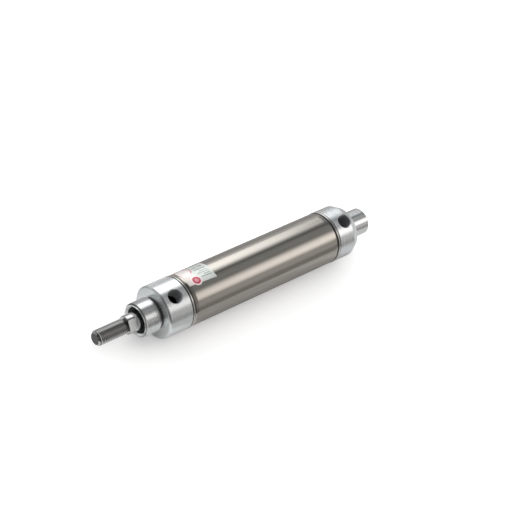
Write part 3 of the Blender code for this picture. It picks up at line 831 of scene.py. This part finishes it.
# ------------------------------------------------------------ floor and light
def make_floor():
    bm = bmesh.new()
    z = cad_box[0][2] - 0.00002
    size = 3.0
    verts = [bm.verts.new((x * size, y * size, z)) for x, y in ((-1, -1), (1, -1), (1, 1), (-1, 1))]
    bm.faces.new(verts)
    mesh = bpy.data.meshes.new("floor")
    bm.to_mesh(mesh)
    bm.free()
    obj = bpy.data.objects.new("floor", mesh)
    bpy.context.scene.collection.objects.link(obj)
    s = Shader("floor_paint", metallic=0.0, Specular_IOR_Level=0.1)
    faint = s.noise((6, 6, 6), detail=2)
    pale = s.ramp(faint, [(0.3, (0.93, 0.93, 0.93)), (0.7, (0.95, 0.95, 0.95))])
    # Painted reflection: rays other than camera rays see a greyer floor, paler under the cylinder's two ends and darker
    # on its far side, so the cylinder reflects these painted patches; camera rays see the plain pale floor.
    seen = s.node("ShaderNodeLightPath").outputs["Is Camera Ray"]
    split = s.node("ShaderNodeSeparateXYZ")
    s.plug(s.coords.outputs["Object"], split.inputs["Vector"])
    x, y = split.outputs["X"], split.outputs["Y"]
    table = s.mix(s.span(x, 1.0, 0.0, 0.002, 0.014), (0.48, 0.48, 0.475), (0.61, 0.615, 0.615))
    table = s.mix(s.span(x, 0.0, 1.0, 0.131, 0.143), table, (0.78, 0.785, 0.78))
    painted_end_patch = s.math("MULTIPLY", s.span(x, 0.0, 1.0, 0.122, 0.134), s.span(x, 1.0, 0.0, 0.148, 0.155))
    far = s.mix(painted_end_patch, (0.36, 0.36, 0.36), (0.58, 0.585, 0.58))
    far = s.mix(s.span(y, 1.0, 0.0, -0.128, -0.095), far, (0.53, 0.53, 0.53))
    table = s.mix(s.span(y, 1.0, 0.0, -0.030, -0.016), table, far)
    s.colour(s.mix(seen, table, pale))
    s.roughness(s.span(faint, 0.85, 0.95))
    # Painted light: camera rays see the floor glow (emission 0.3), which lightens its cast shadow.
    s.out.inputs["Emission Color"].default_value = (1.0, 1.0, 1.0, 1.0)
    s.plug(s.math("MULTIPLY", seen, 0.30), s.out.inputs["Emission Strength"])
    mesh.materials.append(s.mat)


GREEN, WARM, WHITE, COOL = (0.97, 1.0, 0.985), (1.0, 0.965, 0.94), (1.0, 0.99, 0.97), (0.90, 0.96, 1.05)
# Each light: its brightness by the angle round X, then by the direction's X.
AROUND = [
    (-180, 0.60, WHITE), (-150, 0.42, WHITE), (-133, 0.31, WHITE), (-113, 0.25, COOL), (-96, 0.235, COOL), (-60, 0.22, COOL), (-44, 0.16, COOL), (-34, 0.12, GREEN),
    (-27, 0.27, GREEN), (-13, 0.31, GREEN), (-2, 0.26, GREEN), (5, 0.26, WARM), (42, 0.30, WARM), (48, 0.42, WARM),
    (57, 0.48, WARM), (67, 0.45, WARM), (77, 0.26, WARM), (88, 0.30, WARM), (96, 0.45, WHITE), (180, 0.60, WHITE),
], [(-1.0, 1.0), (-0.516, 1.0), (-0.497, 0.62), (-0.25, 0.62), (0.15, 0.22), (1.0, 0.18)]
SIDE_BOX = [
    (-180, 0.0, WHITE), (-97, 0.0, WHITE), (-91, 1.00, WHITE), (-82, 1.62, WHITE), (-68, 1.80, WHITE),
    (-56, 1.62, WHITE), (-47, 0.80, WHITE), (-41, 0.24, WHITE), (-36, 0.06, WHITE), (-30, 0.0, WHITE), (180, 0.0, WHITE),
], [(-1.0, 0.06), (-0.62, 0.06), (-0.605, 0.12), (-0.597, 0.55), (-0.583, 0.90), (-0.55, 1.0), (-0.2, 1.0), (0.15, 0.25), (1.0, 0.15)]
WARM_BOX = [
    (-180, 0.0, WARM), (-2, 0.0, WARM), (4, 0.14, WARM), (12, 0.74, WARM), (22, 1.16, WARM), (32, 1.18, WARM),
    (40, 0.78, WARM), (47, 0.06, WARM), (51, 0.0, WARM), (180, 0.0, WARM),
], [(-1.0, 1.0), (-0.526, 1.0), (-0.519, 0.36), (-0.500, 0.06), (0.0, 0.10), (1.0, 0.10)]


def make_world():
    """Soft boxes along both sides of the cylinder, in a dim room that is
    darker beyond the rod's end."""
    world = bpy.data.worlds.new("studio")
    bpy.context.scene.world = world
    world.use_nodes = True
    tree = world.node_tree
    tree.nodes.clear()
    new, link = tree.nodes.new, tree.links.new
    coords = new("ShaderNodeTexCoord")
    split = new("ShaderNodeSeparateXYZ")
    link(coords.outputs["Generated"], split.inputs["Vector"])
    angle = new("ShaderNodeMath")
    angle.operation = "ARCTAN2"
    link(split.outputs["Y"], angle.inputs[0])
    link(split.outputs["Z"], angle.inputs[1])
    place = new("ShaderNodeMapRange")
    place.inputs["From Min"].default_value = -math.pi
    place.inputs["From Max"].default_value = math.pi
    link(angle.outputs[0], place.inputs["Value"])
    top = 2.0

    def ring(stops):
        ramp = new("ShaderNodeValToRGB")
        elements = ramp.color_ramp.elements
        while len(elements) < len(stops):
            elements.new(0.5)
        for element, (degrees, level, tint) in zip(elements, stops):
            element.position = (degrees + 180) / 360
            element.color = (*(c * level / top for c in tint), 1.0)
        link(place.outputs["Result"], ramp.inputs["Fac"])
        back = new("ShaderNodeBackground")
        link(ramp.outputs["Color"], back.inputs["Color"])
        return back

    def along(stops):
        """Strength by how far a direction points along X."""
        spot = new("ShaderNodeMapRange")
        spot.inputs["From Min"].default_value = -1.0
        link(split.outputs["X"], spot.inputs["Value"])
        ramp = new("ShaderNodeValToRGB")
        elements = ramp.color_ramp.elements
        while len(elements) < len(stops):
            elements.new(0.5)
        for element, (x, level) in zip(elements, stops):
            element.position = (x + 1) / 2
            element.color = (level, level, level, 1.0)
        link(spot.outputs["Result"], ramp.inputs["Fac"])
        scale = new("ShaderNodeMath")
        scale.operation = "MULTIPLY"
        scale.inputs[1].default_value = top
        link(ramp.outputs["Color"], scale.inputs[0])
        return scale.outputs[0]

    total = None
    for round_x, down_x in (AROUND, SIDE_BOX, WARM_BOX):
        box = ring(round_x)
        link(along(down_x), box.inputs["Strength"])
        if total is None:
            total = box.outputs["Background"]
            continue
        both = new("ShaderNodeAddShader")
        link(total, both.inputs[0])
        link(box.outputs["Background"], both.inputs[1])
        total = both.outputs["Shader"]
    plain = new("ShaderNodeBackground")
    plain.inputs["Color"].default_value = (0.97, 0.97, 0.97, 1)
    seen = new("ShaderNodeLightPath")
    mix = new("ShaderNodeMixShader")
    link(seen.outputs["Is Camera Ray"], mix.inputs["Fac"])
    link(total, mix.inputs[1])
    link(plain.outputs["Background"], mix.inputs[2])
    out = new("ShaderNodeOutputWorld")
    link(mix.outputs["Shader"], out.inputs["Surface"])


def make_light(name, location, target, size, watts, colour=(1, 1, 1)):
    data = bpy.data.lights.new(name, "AREA")
    data.shape = "RECTANGLE"
    data.size, data.size_y = size
    data.energy = watts
    data.color = colour
    obj = bpy.data.objects.new(name, data)
    obj.location = location
    obj.visible_glossy = False
    obj.rotation_euler = (Vector(target) - Vector(location)).to_track_quat("-Z", "Y").to_euler()
    bpy.context.scene.collection.objects.link(obj)


def make_camera():
    data = bpy.data.cameras.new("camera")
    data.lens = 124.0
    data.sensor_width = 36.0
    data.clip_start, data.clip_end = 0.05, 20.0
    right = Vector((-0.75069, 0.51172, 0.41787))
    up = Vector((-0.33212, -0.83907, 0.43087))
    back = Vector((0.57111, 0.18467, 0.79984))
    turn = Matrix((right, up, back)).transposed().to_4x4()
    obj = bpy.data.objects.new("camera", data)
    obj.matrix_world = Matrix.Translation((0.71301, 0.19539, 0.87763)) @ turn
    bpy.context.scene.collection.objects.link(obj)
    bpy.context.scene.camera = obj


make_floor()
make_world()
make_light("top_soft", (0.10, -0.35, 0.9), (0.10, 0.0, 0.0), (1.9, 1.6), 15.0)
make_camera()

scene = bpy.context.scene
scene.view_settings.view_transform = "Standard"
scene.view_settings.look = "None"
scene.view_settings.exposure = 0.0
